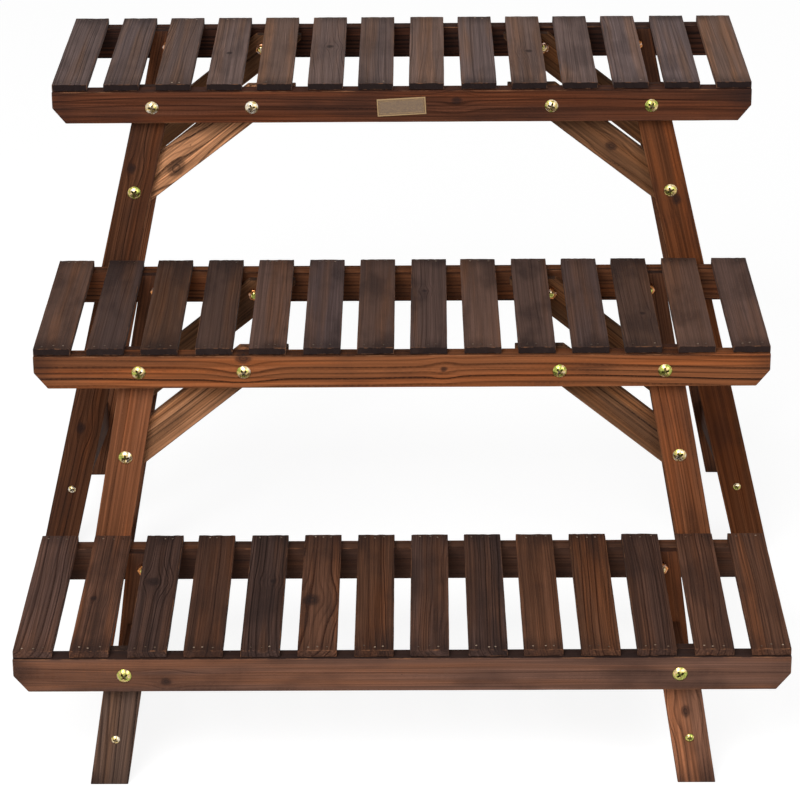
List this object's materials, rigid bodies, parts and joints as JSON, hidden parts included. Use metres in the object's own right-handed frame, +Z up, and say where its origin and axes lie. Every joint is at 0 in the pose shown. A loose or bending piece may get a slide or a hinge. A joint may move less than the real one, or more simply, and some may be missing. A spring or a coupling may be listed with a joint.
{
  "type": "tiered plant stand",
  "caption": "Stepped plant stand of free-standing slatted wooden benches in rising heights, on splayed bolted legs with diagonal braces.",
  "frame": {"origin": "on the floor, midway between the end feet and midway between the front and back faces", "axes": "+X to the right along the benches, +Y from the low front bench to the tall back one, +Z up"},
  "size_m": [0.7744, 0.757, 0.524],
  "materials": {
    "top_slat_wood": "carbonised fir, brushed, weathered grey-brown",
    "middle_slat_wood": "carbonised fir, brushed, dark brown",
    "bottom_slat_wood": "carbonised fir, brushed, warm brown with strong grain",
    "top_rail_wood": "carbonised fir, planed, dark reddish brown",
    "middle_rail_wood": "carbonised fir, planed, orange-brown",
    "bottom_rail_wood": "carbonised fir, planed, greyish brown",
    "leg_wood": "carbonised fir, planed, warm brown",
    "brace_wood": "carbonised fir, planed, light tan brown",
    "yellow_zinc": "steel, yellow zinc plated, bright",
    "nail_steel": "bright wire nail heads",
    "plate_brass": "thin stamped brass sheet, aged"
  },
  "bodies": {
    "root": {"bottom_slats": "bottom_slat_wood", "bottom_front_rail": "bottom_rail_wood", "bottom_front_left_leg": "leg_wood", "bottom_front_right_leg": "leg_wood", "bottom_rear_rail": "bottom_rail_wood", "bottom_rear_left_leg": "leg_wood", "bottom_rear_right_leg": "leg_wood", "bottom_left_stretcher": "leg_wood", "bottom_right_stretcher": "leg_wood", "bottom_leg_bolts": "yellow_zinc", "bottom_nuts": "yellow_zinc", "bottom_stretcher_screws": "yellow_zinc", "bottom_slat_nails": "nail_steel", "middle_slats": "middle_slat_wood", "middle_front_rail": "middle_rail_wood", "middle_front_left_leg": "leg_wood", "middle_front_left_brace": "brace_wood", "middle_front_right_leg": "leg_wood", "middle_front_right_brace": "brace_wood", "middle_rear_rail": "middle_rail_wood", "middle_rear_left_leg": "leg_wood", "middle_rear_left_brace": "brace_wood", "middle_rear_right_leg": "leg_wood", "middle_rear_right_brace": "brace_wood", "middle_left_stretcher": "leg_wood", "middle_right_stretcher": "leg_wood", "middle_leg_bolts": "yellow_zinc", "middle_rail_brace_bolts": "yellow_zinc", "middle_leg_brace_bolts": "yellow_zinc", "middle_nuts": "yellow_zinc", "middle_stretcher_screws": "yellow_zinc", "middle_slat_nails": "nail_steel", "top_slats": "top_slat_wood", "top_front_rail": "top_rail_wood", "top_front_left_leg": "leg_wood", "top_front_left_brace": "brace_wood", "top_front_right_leg": "leg_wood", "top_front_right_brace": "brace_wood", "top_rear_rail": "top_rail_wood", "top_rear_left_leg": "leg_wood", "top_rear_left_brace": "brace_wood", "top_rear_right_leg": "leg_wood", "top_rear_right_brace": "brace_wood", "top_left_stretcher": "leg_wood", "top_right_stretcher": "leg_wood", "top_leg_bolts": "yellow_zinc", "top_rail_brace_bolts": "yellow_zinc", "top_leg_brace_bolts": "yellow_zinc", "top_nuts": "yellow_zinc", "top_stretcher_screws": "yellow_zinc", "top_slat_nails": "nail_steel", "name_plate": "plate_brass"}
  },
  "joints": []
}
